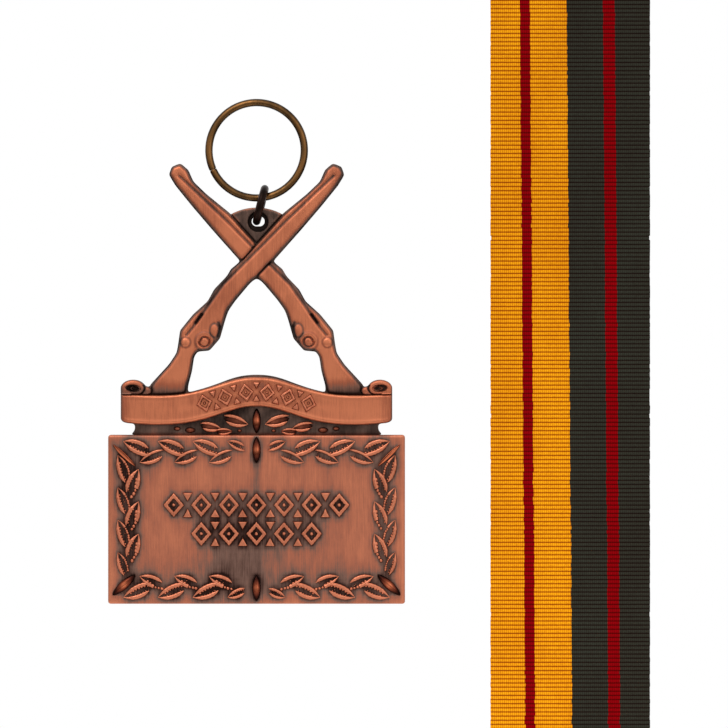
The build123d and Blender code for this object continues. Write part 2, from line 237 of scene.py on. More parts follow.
def slab(points, count, front, rear, front_y, back_y):
    """A closed solid: a sculpted front at front_y, walls along the boundary and a flat back at back_y."""
    edges = {}
    for i, j, k in front:
        for edge in ((i, j), (j, k), (k, i)):
            edges[edge] = True
    rim = [(i, j) for i, j in edges if (j, i) not in edges]
    total = len(points)
    top = np.column_stack([points[:, 0], front_y, points[:, 1]])
    bottom = np.column_stack([points[:count, 0], np.full(count, back_y), points[:count, 1]])
    faces = [tuple(t) for t in front]
    faces += [(j, i, total + i, total + j) for i, j in rim]
    faces += [(total + t[0], total + t[2], total + t[1]) for t in rear]
    return np.concatenate([top, bottom]), faces


# ------------------------------------------------------------------ materials


def shader(name):
    material = bpy.data.materials.new(name)
    material.use_nodes = True
    tree = material.node_tree
    tree.nodes.clear()
    output = tree.nodes.new("ShaderNodeOutputMaterial")
    surface = tree.nodes.new("ShaderNodeBsdfPrincipled")
    tree.links.new(surface.outputs["BSDF"], output.inputs["Surface"])
    return material, tree, surface


def noise(tree, stretch, detail=4.0):
    """Noise with one feature per (1 / stretch) mm along each axis."""
    coordinates = tree.nodes.new("ShaderNodeTexCoord")
    mapping = tree.nodes.new("ShaderNodeMapping")
    mapping.inputs["Scale"].default_value = [s / MM for s in stretch]
    texture = tree.nodes.new("ShaderNodeTexNoise")
    texture.inputs["Scale"].default_value = 1.0
    texture.inputs["Detail"].default_value = detail
    texture.inputs["Roughness"].default_value = 0.6
    tree.links.new(coordinates.outputs["Object"], mapping.inputs["Vector"])
    tree.links.new(mapping.outputs["Vector"], texture.inputs["Vector"])
    return texture.outputs["Fac"]


def remap(tree, value, low, high, to_low, to_high):
    node = tree.nodes.new("ShaderNodeMapRange")
    tree.links.new(value, node.inputs["Value"])
    node.inputs["From Min"].default_value = low
    node.inputs["From Max"].default_value = high
    node.inputs["To Min"].default_value = to_low
    node.inputs["To Max"].default_value = to_high
    return node.outputs["Result"]


def combine(tree, operation, a, b=None):
    """A Math node of a and, where there is one, b: a number or another node's output."""
    node = tree.nodes.new("ShaderNodeMath")
    node.operation = operation
    tree.links.new(a, node.inputs[0])
    if isinstance(b, float):
        node.inputs[1].default_value = b
    elif b is not None:
        tree.links.new(b, node.inputs[1])
    return node.outputs["Value"]


def attribute(tree, name):
    node = tree.nodes.new("ShaderNodeAttribute")
    node.attribute_name = name
    return node.outputs["Fac"]


def ramp(tree, value, stops, interpolation="LINEAR"):
    node = tree.nodes.new("ShaderNodeValToRGB")
    node.color_ramp.interpolation = interpolation
    elements = node.color_ramp.elements
    elements[0].position, elements[0].color = stops[0][0], (*stops[0][1], 1)
    elements[1].position, elements[1].color = stops[-1][0], (*stops[-1][1], 1)
    for position, colour in stops[1:-1]:
        elements.new(position).color = (*colour, 1)
    tree.links.new(value, node.inputs["Fac"])
    return node.outputs["Color"]


def bump(tree, surface, height, depth, strength):
    node = tree.nodes.new("ShaderNodeBump")
    node.inputs["Distance"].default_value = depth * MM
    node.inputs["Strength"].default_value = strength
    tree.links.new(height, node.inputs["Height"])
    tree.links.new(node.outputs["Normal"], surface.inputs["Normal"])


def cast_metal(name, stops, brushed, cloud, rough=(0.34, 0.62), metal=(1.0, 0.55), relief=0.5):
    """Plated casting: bright where rubbed, dull brown where the painted attribute and the noise say; the
    attribute holds patina and also painted shade and painted highlights.
    """
    material, tree, surface = shader(name)
    streaks = noise(tree, (5.0, 1.0, 0.22), 5.0)
    clouds = noise(tree, (0.5, 0.5, 0.2), 6.0)
    grain = noise(tree, (14.0, 14.0, 9.0), 3.0)
    # The painted attribute mixes patina with painted shade and painted highlights.
    wear_and_shade = attribute(tree, "patina_and_shade")
    wear_and_shade = combine(tree, "ADD", wear_and_shade, remap(tree, streaks, 0.25, 0.75, -brushed, brushed))
    wear_and_shade = combine(tree, "ADD", wear_and_shade, remap(tree, clouds, 0.3, 0.7, -cloud, cloud))
    wear_and_shade = combine(tree, "ADD", wear_and_shade, remap(tree, grain, 0.3, 0.7, -0.05, 0.05))
    tree.links.new(ramp(tree, wear_and_shade, stops), surface.inputs["Base Color"])
    tree.links.new(remap(tree, wear_and_shade, 0.0, 1.0, *rough), surface.inputs["Roughness"])
    tree.links.new(remap(tree, wear_and_shade, 0.2, 1.0, *metal), surface.inputs["Metallic"])
    scratches = remap(tree, streaks, 0.2, 0.8, 0.0, 1.0)
    height = combine(tree, "ADD", scratches, remap(tree, grain, 0.2, 0.8, 0.0, 0.5))
    bump(tree, surface, height, 0.02, relief)
    return material


# Each palette runs from rubbed bright (0) to stained dark (1); the same scale also carries painted highlight
# (low) and painted shade (high).
COPPER = [
    (0.0, (0.66, 0.225, 0.122)),
    (0.3, (0.46, 0.158, 0.094)),
    (0.55, (0.22, 0.122, 0.093)),
    (0.85, (0.088, 0.044, 0.034)),
    (1.0, (0.026, 0.010, 0.007)),
]
RELIEF = [
    (0.0, (0.70, 0.235, 0.128)),
    (0.3, (0.46, 0.135, 0.072)),
    (0.6, (0.12, 0.032, 0.018)),
    (1.0, (0.02, 0.006, 0.004)),
]
BRUSHED = [
    (0.0, (0.70, 0.226, 0.112)),
    (0.3, (0.42, 0.125, 0.066)),
    (0.55, (0.21, 0.10, 0.070)),
    (0.8, (0.085, 0.042, 0.032)),
    (1.0, (0.022, 0.010, 0.007)),
]
GREY_BROWN = [
    (0.0, (0.36, 0.15, 0.095)),
    (0.35, (0.175, 0.105, 0.082)),
    (0.7, (0.075, 0.046, 0.036)),
    (1.0, (0.018, 0.010, 0.008)),
]
BRASS = [
    (0.0, (0.27, 0.122, 0.038)),
    (0.4, (0.12, 0.062, 0.024)),
    (0.75, (0.03, 0.016, 0.008)),
    (1.0, (0.010, 0.006, 0.004)),
]
BRONZE = [
    (0.0, (0.085, 0.044, 0.033)),
    (0.5, (0.038, 0.02, 0.016)),
    (1.0, (0.010, 0.006, 0.005)),
]
POLISHED = [
    (0.0, (0.74, 0.20, 0.088)),
    (0.32, (0.22, 0.05, 0.024)),
    (0.7, (0.05, 0.012, 0.008)),
    (1.0, (0.012, 0.004, 0.003)),
]

panel_metal = cast_metal("panel_metal", COPPER, 0.13, 0.12, rough=(0.42, 0.62), metal=(1.0, 0.9))
brushed_metal = cast_metal("brushed_metal", BRUSHED, 0.12, 0.08, rough=(0.42, 0.6), metal=(1.0, 0.9))
relief_metal = cast_metal(
    "relief_metal", RELIEF, 0.05, 0.10, rough=(0.36, 0.55), metal=(1.0, 0.95), relief=0.35
)
ground_metal = cast_metal(
    "ground_metal", GREY_BROWN, 0.10, 0.20, rough=(0.48, 0.66), metal=(1.0, 0.85), relief=0.6
)
spindle_metal = cast_metal(
    "spindle_metal", POLISHED, 0.03, 0.06, rough=(0.17, 0.30), metal=(1.0, 1.0), relief=0.08
)
ring_metal = cast_metal(
    "ring_metal", BRASS, 0.04, 0.16, rough=(0.26, 0.42), metal=(1.0, 1.0), relief=0.08
)
link_metal = cast_metal(
    "link_metal", BRONZE, 0.03, 0.14, rough=(0.26, 0.4), metal=(1.0, 1.0), relief=0.08
)


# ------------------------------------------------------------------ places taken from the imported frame


def span(node):
    """A CAD node's lowest and highest corners in mm."""
    low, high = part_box(node)
    return np.array(low) / MM, np.array(high) / MM


LINK_WIRE = 1.6
LINK_LEAN = math.radians(14.0)

plate_low, plate_high = span("inscription_panel")
badge_low = span("base_plate")[0]
ring_low, ring_high = span("suspension_ring")
link_low, link_high = span("jump_ring")
strip_low, strip_high = span("ribbon")

panel_face = plate_low[1]
ground_face = badge_low[1]
plate_back = plate_high[1]
panel_top = plate_high[2]
panel_foot = plate_low[2]
panel_middle = (panel_top + panel_foot) / 2
half_width = plate_high[0]
half_height = (panel_top - panel_foot) / 2
CROSSING_TO_PANEL = 34.9
crossing = panel_top + CROSSING_TO_PANEL


# ------------------------------------------------------------------ crossed rifles

GROOVE = [(15.4, 16.9), (5.8, 7.8), (0.9, 2.8), (-6.7, -4.8), (-12.6, -13.2), (-14.0, -14.9)]
SLOT = [(-12.2, -12.4), (-11.0, -10.8)]
CREASE = [(-7.5, -14.9), (-7.2, -13.4), (-7.6, -12.4)]
KNOB = (-14.2, -16.4, 0.9)
SCROLL = (-10.4, -16.2, 1.55)
GUARD = (-8.4, -14.0, 1.25, 0.85)
KNOB_RISE, SCROLL_RISE, GUARD_RISE = 0.22, 0.18, 0.24
COIL_RADIUS, COIL_PITCH, COIL_WIDTH, COIL_CUT = 0.95, 0.3, 0.2, 0.32
RIFLE_EDGE_DROP, RIFLE_EDGE_ROUND = 0.62, 0.75
BUTT_STAIN = 3.6
BUTT_STAIN_FOOT = 8.1
# Marks in a rifle's face: the line, its half width, how deep it is cut and how dark it is.
RIFLE_MARKS = [(GROOVE, 0.3, 0.3, 0.62), (SLOT, 0.3, 0.35, 0.6), (CREASE, 0.28, 0.3, 0.7)]


def path_distance(points, path):
    path = np.array(path, float)
    return distance(points, path[:-1], path[1:])


def bell(gap, width):
    return np.exp(-((gap / width) ** 2))


def sculpt_rifle(node, side):
    """A rifle with rounded edges, a barrel groove, and lock, guard and butt worked into its face."""
    loops = [smooth_loop(loop, 0.15, 0.55) for loop in front_loops(node)]
    points, gap, count, front, rear = fill(loops, 0.18)
    local = np.column_stack([points[:, 0] * side, points[:, 1] - crossing])
    low, high = span(node)
    depth = RIFLE_EDGE_DROP * (1 - rounded(gap, RIFLE_EDGE_ROUND))
    darkness = np.zeros(len(points))
    for line, spread, cut, dark in RIFLE_MARKS:
        mark = bell(path_distance(local, line), spread)
        depth += cut * mark
        darkness += dark * mark
    knob = np.hypot(local[:, 0] - KNOB[0], local[:, 1] - KNOB[1]) / KNOB[2]
    depth -= KNOB_RISE * np.sqrt(np.clip(1 - knob**2, 0, 1)) * (gap > 0.05)
    ring = np.hypot(local[:, 0] - SCROLL[0], local[:, 1] - SCROLL[1])
    whorl = np.arctan2(local[:, 1] - SCROLL[1], local[:, 0] - SCROLL[0]) / (2 * math.pi)
    coil = bell(ring - COIL_RADIUS + COIL_PITCH * whorl, COIL_WIDTH)
    depth += COIL_CUT * coil - SCROLL_RISE * bell(ring - SCROLL[2], 0.4) * (gap > 0.05)
    across = (local[:, 0] - GUARD[0]) / GUARD[3]
    along = (local[:, 1] - GUARD[1]) / GUARD[2]
    depth -= GUARD_RISE * np.sqrt(np.clip(1 - across**2 - along**2, 0, 1)) * (gap > 0.05)
    depth += 0.03 * ripple(points, 2.2, 2.2, seed=3)
    front_y = np.clip(low[1] + depth, low[1] - 0.25, high[1] - 0.05)
    verts, faces = slab(points, count, front, rear, front_y, high[1])
    darkness += 0.5 * coil
    darkness += 0.35 * bell(ring - SCROLL[2] - 0.35, 0.25) + 0.45 * bell(knob * KNOB[2] - KNOB[2] - 0.12, 0.22)
    darkness += 0.5 * bell(np.hypot(across, along) - 1.1, 0.22)
    butt = np.clip((panel_top + BUTT_STAIN_FOOT + BUTT_STAIN - points[:, 1]) / BUTT_STAIN, 0, 1)
    # The butt term darkens the butt's lower end; the last term is painted shade along the rifle's rounded
    # edges.
    darkness += 0.8 * butt**1.1 + 0.07 + 0.12 * ripple(points, 4, 5, seed=5) + 0.62 * bell(gap, 0.36)
    wall = np.full(count, 1.0)
    obj = make_object(node + "_sculpted", verts, faces, brushed_metal)
    paint(obj, np.concatenate([darkness, wall]))
    place(obj, BADGE, "brushed_copper", node)
    return obj


sculpt_rifle("rifle_over", 1)
sculpt_rifle("rifle_under", -1)


# ------------------------------------------------------------------ banner, base plate and lug


BANNER_EDGE_DROP, BANNER_EDGE_ROUND = 0.45, 0.55


def sculpt_banner():
    """The banner's face, darker at its ends and round the frieze, with painted shade along its edges."""
    points, gap, count, front, rear = fill(front_loops("scroll_banner"), 0.22)
    low, high = span("scroll_banner")
    depth = BANNER_EDGE_DROP * (1 - rounded(gap, BANNER_EDGE_ROUND)) - 0.07 * bell(gap - 0.6, 0.22)
    depth += 0.03 * ripple(points, 5, 2, seed=8)
    front_y = low[1] + 0.07 + depth
    verts, faces = slab(points, count, front, rear, front_y, high[1])
    reach = np.abs(points[:, 0]) / high[0]
    darkness = 0.35 * np.clip((reach - 0.86) / 0.14, 0, 1) ** 1.5 + 0.05 * ripple(points, 3, 8, seed=9) - 0.02
    # The first term is painted shade along the rounded edges; the second darkens the face round the frieze.
    darkness += 0.35 * bell(gap, 0.2) + 0.36 * bell(points[:, 0], 13.0) * bell(gap - 1.8, 1.1)
    obj = make_object("scroll_banner_sculpted", verts, faces, brushed_metal)
    paint(obj, np.concatenate([darkness, np.full(count, 1.0)]))
    place(obj, BADGE, "brushed_copper", "scroll_banner")


def sculpt_ground():
    """The plate behind the relief, its outline eased to match the rifles."""
    loops = [smooth_loop(loop, 0.25, 0.5) for loop in front_loops("base_plate")]
    points, gap, count, front, rear = fill(loops, 0.45)
    low, high = span("base_plate")
    depth = 0.2 * (1 - rounded(gap, 0.3)) + 0.03 * (1 + ripple(points, 1.2, 1.2, seed=12))
    verts, faces = slab(points, count, front, rear, low[1] + depth, high[1])
    under_banner = np.clip((points[:, 1] - panel_top - 1.5) / 3.0, 0, 1)
    darkness = 0.56 + 0.16 * under_banner + 0.2 * ripple(points, 2, 2, seed=13)
    obj = make_object("base_plate_sculpted", verts, faces, ground_metal)
    paint(obj, np.concatenate([darkness, np.full(count, 0.8)]))
    place(obj, BADGE, "patina_copper", "base_plate")


def circle(centre, radius, count):
    turn = np.linspace(0, 2 * math.pi, count, endpoint=False)
    return np.column_stack([centre[0] + radius * np.cos(turn), centre[1] + radius * np.sin(turn)])


def slot_outline(start, end, radius, count):
    """A round hole drawn out sideways from start to end."""
    turn = np.linspace(0, 2 * math.pi, count, endpoint=False)
    centre_x = np.where(np.cos(turn) > 0, end[0], start[0])
    return np.column_stack([centre_x + radius * np.cos(turn), start[1] + radius * np.sin(turn)])


HOLE_PLAY = 0.2
DISH_DEPTH = 0.5
LUG_EDGE_DROP, LUG_EDGE_ROUND = 0.2, 0.35


def sculpt_lug():
    """The lug with its dish painted dark as shade and its upper rim painted lighter as a highlight, and in it
    a worn slot that gives the swinging jump ring its room.
    """
    loops = front_loops("suspension_lug")
    loops.sort(key=lambda loop: np.ptp(loop[:, 0]))
    mouth = loops[0]
    centre = (mouth.min(axis=0) + mouth.max(axis=0)) / 2
    mouth_radius = np.ptp(mouth[:, 0]) / 2
    mesh = np.array([v.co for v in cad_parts["suspension_lug"].data.vertices])[:, [0, 2]] / MM
    hole_radius = np.hypot(*(mesh - centre).T).min()
    wire_middle = np.array([0.0, link_low[2] + LINK_WIRE / 2])
    worn_end = wire_middle + [2 * centre[0], 0]
    worn = slot_outline(wire_middle, worn_end, LINK_WIRE / 2 + HOLE_PLAY, 64)
    points, gap, count, front, rear = fill([loops[-1], worn], 0.13)
    low, high = span("suspension_lug")
    radius = np.hypot(*(points - centre).T)
    dish = np.clip((mouth_radius - radius) / (mouth_radius - hole_radius), 0, 1)
    edge = np.where(radius > mouth_radius + 0.3, gap, 1.0)
    depth = DISH_DEPTH * np.clip(2.2 * dish, 0, 1) ** 0.8
    depth += LUG_EDGE_DROP * (1 - rounded(edge, LUG_EDGE_ROUND))
    depth += 0.015 * ripple(points, 0.8, 0.8, seed=14)
    verts, faces = slab(points, count, front, rear, low[1] + depth, high[1])
    # Painted light: the rounded upper rim is painted lighter as a highlight, and the dish is painted dark as
    # shade round the hole.
    rim = bell(edge - 0.1, 0.35) * (edge < 1) * (points[:, 1] > centre[1])
    darkness = 0.6 + 0.75 * np.clip(3.0 * dish, 0, 1) - 0.5 * rim + 0.12 * ripple(points, 1.5, 1.5, seed=15)
    obj = make_object("suspension_lug_sculpted", verts, faces, ground_metal)
    paint(obj, np.concatenate([darkness, np.full(count, 1.0)]))
    place(obj, BADGE, "patina_copper", "suspension_lug")


CURL_EDGE_DROP, CURL_EDGE_ROUND = 0.6, 0.7
HOLLOW_HALF_WIDTH, HOLLOW_HALF_HEIGHT, HOLLOW_DEPTH = 1.6, 0.78, 0.75
LIP_RISE, SEAM_CUT = 0.4, 0.35


def sculpt_curl(node, side):
    """A rolled end: a thick rim round an oval hollow, a lip inside it, and a tail towards the middle."""
    loops = front_loops(node)
    loops.sort(key=lambda loop: np.ptp(loop[:, 0]))
    bore = loops[0]
    centre = (bore.min(axis=0) + bore.max(axis=0)) / 2
    points, gap, count, front, rear = fill([smooth_loop(loops[-1], 0.1, 0.15)], 0.11)
    low, high = span(node)
    u, v = (points - centre).T
    u = side * u
    oval = np.hypot(u / HOLLOW_HALF_WIDTH, (v - 0.06 * u) / HOLLOW_HALF_HEIGHT)
    hollow = np.clip((1.0 - oval) / 0.35, 0, 1)
    lip = bell(np.hypot((u + 0.45) / 0.85, (v + 0.05) / 0.36) - 1.0, 0.3) * (oval < 0.9)
    seam = bell(np.hypot(u / 2.35, v / 1.5) - 1.0, 0.08) * (v < 0.6) * (u < 0.8)
    web = np.clip((-v - 0.9) / 0.6, 0, 1) * (u > 0.3)
    free = 1 - np.clip((-v - 0.8) / 0.3, 0, 1) * (u > 0.3) * (u < 2.2)
    depth = CURL_EDGE_DROP * (1 - rounded(gap, CURL_EDGE_ROUND)) * free
    depth += HOLLOW_DEPTH * hollow - LIP_RISE * lip + SEAM_CUT * seam
    front_y = np.clip(low[1] + depth, low[1], high[1] - 0.1)
    verts, faces = slab(points, count, front, rear, front_y, high[1])
    face_stain, hollow_stain = (0.34, 0.95) if side < 0 else (0.26, 0.8)
    darkness = face_stain + hollow_stain * hollow * (1 - 0.7 * lip) + 0.7 * seam + 0.15 * web
    # Painted shade along the rounded outer edge.
    darkness += 0.4 * bell(gap, 0.18) * free
    darkness += 0.1 * ripple(points, 1.5, 1.5, seed=16) + (0.2 if side < 0 else 0.0) * np.clip(-v + 0.5, 0, 1)
    obj = make_object(node + "_sculpted", verts, faces, brushed_metal)
    paint(obj, np.concatenate([darkness, np.full(count, 1.0)]))
    place(obj, BADGE, "brushed_copper", node)


sculpt_banner()
sculpt_ground()
sculpt_lug()
sculpt_curl("scroll_curl_left", -1)
sculpt_curl("scroll_curl_right", 1)


# ------------------------------------------------------------------ friezes


def sculpt_frieze(node):
    """Lozenges and darts with rounded edges painted darker as shade; the panel's ones also darken the face
    round them.
    """
    points, gap, count, front, rear = fill(front_loops(node), 0.14)
    low, high = span(node)
    depth = 0.3 * (1 - rounded(gap, 0.32)) + 0.02 * ripple(points, 0.7, 0.7, seed=17)
    verts, faces = slab(points, count, front, rear, low[1] + 0.02 + depth, high[1] + 0.05)
    # Painted shade on the rounded edges over a base tone.
    darkness = 0.06 + 0.5 * (1 - rounded(gap, 0.22)) + 0.08 * ripple(points, 2, 3, seed=18)
    obj = make_object(node + "_sculpted", verts, faces, relief_metal)
    paint(obj, np.concatenate([darkness, np.full(count, 0.95)]))
    place(obj, BADGE, "relief_copper", node)
    if node.startswith("panel"):
        relief_samples.append(points)


for frieze in ("banner_frieze", "panel_frieze_upper", "panel_frieze_lower"):
    sculpt_frieze(frieze)


# ------------------------------------------------------------------ leaves

LEAF_LENGTH = 5.9
SHORT_RIDGE = 0.89
HALF_OPENING = 8.5
LEAF_LEAN = 21.5
LEAF_BULGE = 0.62
RIDGE_WIDTH = 0.47
OUTER_LEAVES = 4
FIRST_TIP, LAST_GAP, LAST_LEAF = 3.1, 1.9, 0.66
INNER_LEAF, INNER_STAGGER = 0.9, 0.47
OUTER_ROW, INNER_ROW = 1.3, 5.5
COLUMN_TIP, COLUMN_FOOT = 4.1, 4.4
COLUMN_OUTER, COLUMN_INNER = 2.0, 6.1
COLUMN_OUTER_LEAF, COLUMN_LAST_LEAF, COLUMN_STAGGER = 0.93, 0.8, 0.43
SINK = 0.05


def wrapped_faces(lines, length):
    """The faces between lines of points that lie side by side all the way round."""
    faces = []
    for k in range(lines):
        follow = (k + 1) % lines
        for i in range(length - 1):
            faces.append((k * length + i, follow * length + i, follow * length + i + 1, k * length + i + 1))
    return faces


class Relief:
    """Gathers many small closed shapes that stand on a face at y = face into one mesh."""

    def __init__(self, face):
        self.face = face
        self.verts = []
        self.faces = []
        self.dark_values = []
        self.count = 0

    def add(self, verts, faces, dark_values):
        self.verts.append(verts)
        self.faces += [tuple(i + self.count for i in face) for face in faces]
        self.dark_values.append(dark_values)
        self.count += len(verts)

    def ridge(self, centres, widths, heights, darkness=0.0):
        """A half-round bar along the centres, closed underneath, its sloping sides painted darker than its
        crest as shade.
        """
        centres = np.asarray(centres, float)
        ahead = np.gradient(centres, axis=0)
        ahead /= np.maximum(np.linalg.norm(ahead, axis=1, keepdims=True), 1e-9)
        across = np.column_stack([-ahead[:, 1], ahead[:, 0]])
        angles = np.radians([-90, -62, -34, 0, 34, 62, 90])
        rows = []
        dark_values = []
        for angle in angles:
            place_xz = centres + across * (np.sin(angle) * widths)[:, None]
            rise = np.cos(angle) ** 0.8 * heights if abs(math.cos(angle)) > 1e-6 else np.zeros(len(heights))
            y = np.where(abs(math.cos(angle)) > 1e-6, self.face - rise, self.face + SINK)
            rows.append(np.column_stack([place_xz[:, 0], y, place_xz[:, 1]]))
            # Painted shade: darker down the sloping sides, lightest on the crest.
            dark_values.append(np.full(len(centres), darkness + 0.85 * (1 - math.cos(angle)) ** 1.1))
        verts = np.concatenate(rows)
        n = len(centres)
        m = len(angles)
        faces = wrapped_faces(m, n)
        faces.append(tuple(k * n for k in reversed(range(m))))
        faces.append(tuple(k * n + n - 1 for k in range(m)))
        self.add(verts, faces, np.concatenate(dark_values))

    def bead(self, x, z, radius, height, stretch=1.0, turn=0.0, darkness=0.05):
        """A half-round drop on the face, painted darker towards its foot as shade and lightest on top."""
        rings = [(1.0, -SINK), (1.0, 0.05 * height), (0.82, 0.6 * height), (0.45, 0.92 * height)]
        around = np.linspace(0, 2 * math.pi, 9, endpoint=False)
        c, s = math.cos(turn), math.sin(turn)
        verts = []
        dark_values = []
        for size, rise in rings:
            u = radius * stretch * size * np.cos(around)
            v = radius * size * np.sin(around)
            y = np.full(9, self.face - rise)
            verts.append(np.column_stack([x + c * u - s * v, y, z + s * u + c * v]))
            # Painted shade towards the foot, lightest at the top, over the given base tone.
            dark_values.append(np.full(9, darkness + 0.8 * (1 - max(rise, 0) / height)))
        verts.append(np.array([[x, self.face - height, z], [x, self.face + SINK, z]]))
        dark_values.append(np.array([darkness, darkness]))
        faces = []
        for k in range(3):
            for i in range(9):
                j = (i + 1) % 9
                faces.append((k * 9 + i, k * 9 + j, (k + 1) * 9 + j, (k + 1) * 9 + i))
        top = 36
        for i in range(9):
            j = (i + 1) % 9
            faces.append((27 + i, 27 + j, top))
            faces.append((j, i, top + 1))
        self.add(np.concatenate(verts), faces, np.concatenate(dark_values))

    def build(self, name, material, body, slot, *nodes):
        obj = make_object(name, np.concatenate(self.verts), self.faces, material, sharp=60)
        paint(obj, np.concatenate(self.dark_values))
        place(obj, body, slot, *nodes)
        return obj


def arm(length, opening, side, bulge, stations=26):
    """Points along one ridge of a leaf from its tip, bowed to its outer side."""
    t = np.linspace(0, 1, stations)
    end = np.array([length * math.cos(opening), length * math.sin(opening)])
    out = side * np.array([-math.sin(opening), math.cos(opening)])
    return t, t[:, None] * end + (4 * bulge * t * (1 - t))[:, None] * out


def leaf(relief, x, z, turn, hand, size, style, random):
    """Two bowed ridges from one tip, with beads and notches where the style says."""
    opening = math.radians(HALF_OPENING)
    c, s = math.cos(math.radians(turn)), math.sin(math.radians(turn))

    def on_panel(points):
        u, v = points[:, 0], points[:, 1] * hand
        return np.column_stack([x + c * u - s * v, z + s * u + c * v])

    for share, side, kind in ((1.0, 1, style[0]), (SHORT_RIDGE, -1, style[1])):
        length = LEAF_LENGTH * size * share * random.uniform(0.97, 1.02)
        t, line = arm(length, side * opening * 0.75, side, LEAF_BULGE * size)
        taper = np.clip(t / 0.35, 0.12, 1) ** 0.8 * np.clip((1.06 - t) / 0.25, 0.25, 1)
        notch = np.abs(np.sin(t * math.pi * 7 + random.uniform(0, 1)))
        slim = 0.72 if kind in ("thin", "beads") else 1.0
        widths = RIDGE_WIDTH * size * taper * slim * (0.88 + 0.16 * notch)
        heights = 0.42 * (0.35 + 0.65 * np.clip(t / 0.35, 0, 1)) * (0.9 + 0.1 * notch)
        if kind == "tail":
            keep = t < 0.66
            relief.ridge(on_panel(line[keep]), widths[keep], heights[keep])
        elif kind == "beads":
            keep = t < 0.42
            relief.ridge(on_panel(line[keep]), widths[keep], heights[keep])
        else:
            relief.ridge(on_panel(line), widths, heights)
        inward = -side * np.array([-math.sin(side * opening), math.cos(side * opening)])
        if kind == "serrated":
            where, off, radius = np.linspace(0.28, 0.9, 7), 0.42, 0.24
        elif kind == "tail":
            where, off, radius = np.array([0.34, 0.46, 0.58, 0.71, 0.83, 0.95]), 0.0, 0.36
            off = np.array([0.4, 0.36, 0.25, 0.0, 0.0, 0.0])
        elif kind == "beads":
            where, off, radius = np.linspace(0.47, 0.97, 6), 0.0, 0.32
        elif kind == "dotted":
            where, off, radius = np.linspace(0.35, 0.88, 6), 0.36, 0.19
        else:
            continue
        base = np.column_stack([np.interp(where, t, line[:, 0]), np.interp(where, t, line[:, 1])])
        base = base + inward * (np.ones(len(where)) * off * size)[:, None]
        for bx, bz in on_panel(base + random.normal(0, 0.025, base.shape)):
            relief.bead(bx, bz, radius * size * random.uniform(0.85, 1.12), 0.34 * random.uniform(0.85, 1.1),
                        stretch=1.15, turn=math.radians(turn) + random.normal(0, 0.3))
    specks = random.uniform((0.45, -0.5), (0.9, 0.5), (2, 2))
    for u, v in specks:
        spot = on_panel(np.array([[u * LEAF_LENGTH * size, v * size * (0.35 + 0.9 * u)]]))[0]
        relief.bead(spot[0], spot[1], 0.09 * random.uniform(0.8, 1.4), 0.14, darkness=0.15)


def border_row(side, rise):
    pitch = (half_width - FIRST_TIP - LAST_GAP - LEAF_LENGTH * LAST_LEAF) / (OUTER_LEAVES - 1)
    inwards = 180 if side > 0 else 0
    hand = side * rise
    outer = ("serrated", "dotted")
    inner = ("thin", "dotted") if rise > 0 else ("tail", "smooth")
    for n in range(OUTER_LEAVES):
        size = LAST_LEAF if n == OUTER_LEAVES - 1 else 1.0
        x = side * (half_width - FIRST_TIP - n * pitch)
        yield x, rise * (half_height - OUTER_ROW), inwards + hand * LEAF_LEAN, hand, size, outer
    for n in range(OUTER_LEAVES - 1):
        x = side * (half_width - FIRST_TIP - (n + INNER_STAGGER) * pitch)
        yield x, rise * (half_height - INNER_ROW), inwards - hand * LEAF_LEAN, -hand, INNER_LEAF, inner


def border_column(side):
    pitch = (2 * half_height - COLUMN_TIP - COLUMN_FOOT - LEAF_LENGTH) / (OUTER_LEAVES - 1)
    for n in range(OUTER_LEAVES):
        size = COLUMN_LAST_LEAF if n == OUTER_LEAVES - 1 else COLUMN_OUTER_LEAF
        z = half_height - COLUMN_TIP - n * pitch
        yield side * (half_width - COLUMN_OUTER), z, -90 - side * LEAF_LEAN, side, size, ("serrated", "beads")
    for n in range(OUTER_LEAVES - 1):
        z = half_height - COLUMN_TIP - (n + COLUMN_STAGGER) * pitch
        yield side * (half_width - COLUMN_INNER), z, -90 + side * LEAF_LEAN, -side, 1.0, ("tail", "dotted")


def grow(node, leaves, seed):
    random = np.random.default_rng(seed)
    relief = Relief(panel_face)
    for x, z, turn, hand, size, style in leaves:
        leaf(relief, x, panel_middle + z, turn, hand, size, style, random)
    relief_samples.append(np.concatenate(relief.verts)[:, [0, 2]])
    relief.build(node + "_sculpted", relief_metal, BADGE, "relief_copper", node)


for number, (side, name) in enumerate(((-1, "left"), (1, "right"))):
    grow("leaves_top_" + name, border_row(side, 1), 21 + number)
    grow("leaves_bottom_" + name, border_row(side, -1), 31 + number)
    grow("leaves_side_" + name, border_column(side), 41 + number)

OLIVE_LEAVES = [(1.7, 2.1, 14.0, 0.855), (7.1, 1.25, 8.0, 0.72), (4.9, 0.75, -4.0, 0.54)]
OLIVE_BERRIES = [(13.3, 0.95, 1.1, 0.6), (15.9, 1.25, 0.75, 0.45), (3.4, 0.85, 0.5, 0.33)]

for number, (side, name) in enumerate(((-1, "left"), (1, "right"))):
    random = np.random.default_rng(51 + number)
    spray = Relief(ground_face)
    for x, z, rise, size in OLIVE_LEAVES:
        turn = rise if side > 0 else 180 - rise
        lean = math.radians(turn)
        reach = 0.5 * LEAF_LENGTH * size
        body_x, body_z = side * x + reach * math.cos(lean), panel_top + z + reach * math.sin(lean)
        spray.bead(body_x, body_z, 0.95 * size, 0.2, stretch=reach / (0.95 * size), turn=lean, darkness=0.55)
        leaf(spray, side * x, panel_top + z, turn, side, size, ("smooth", "smooth"), random)
    for x, z, width, height in OLIVE_BERRIES:
        spray.bead(side * x, panel_top + z, height, 0.38, stretch=width / height, darkness=0.45)
    spray.build(f"olive_spray_{name}_sculpted", relief_metal, BADGE, "relief_copper", f"olive_spray_{name}")


# ------------------------------------------------------------------ spindles


SPINDLE = (5.3, 1.7)
CREST_SPINDLE = (5.0, 1.7)
CORNER_SPINDLE, CORNER_TURN = (6.2, 1.75), 42
THIN_SPINDLE, THIN_TURN = (6.3, 0.9), 44


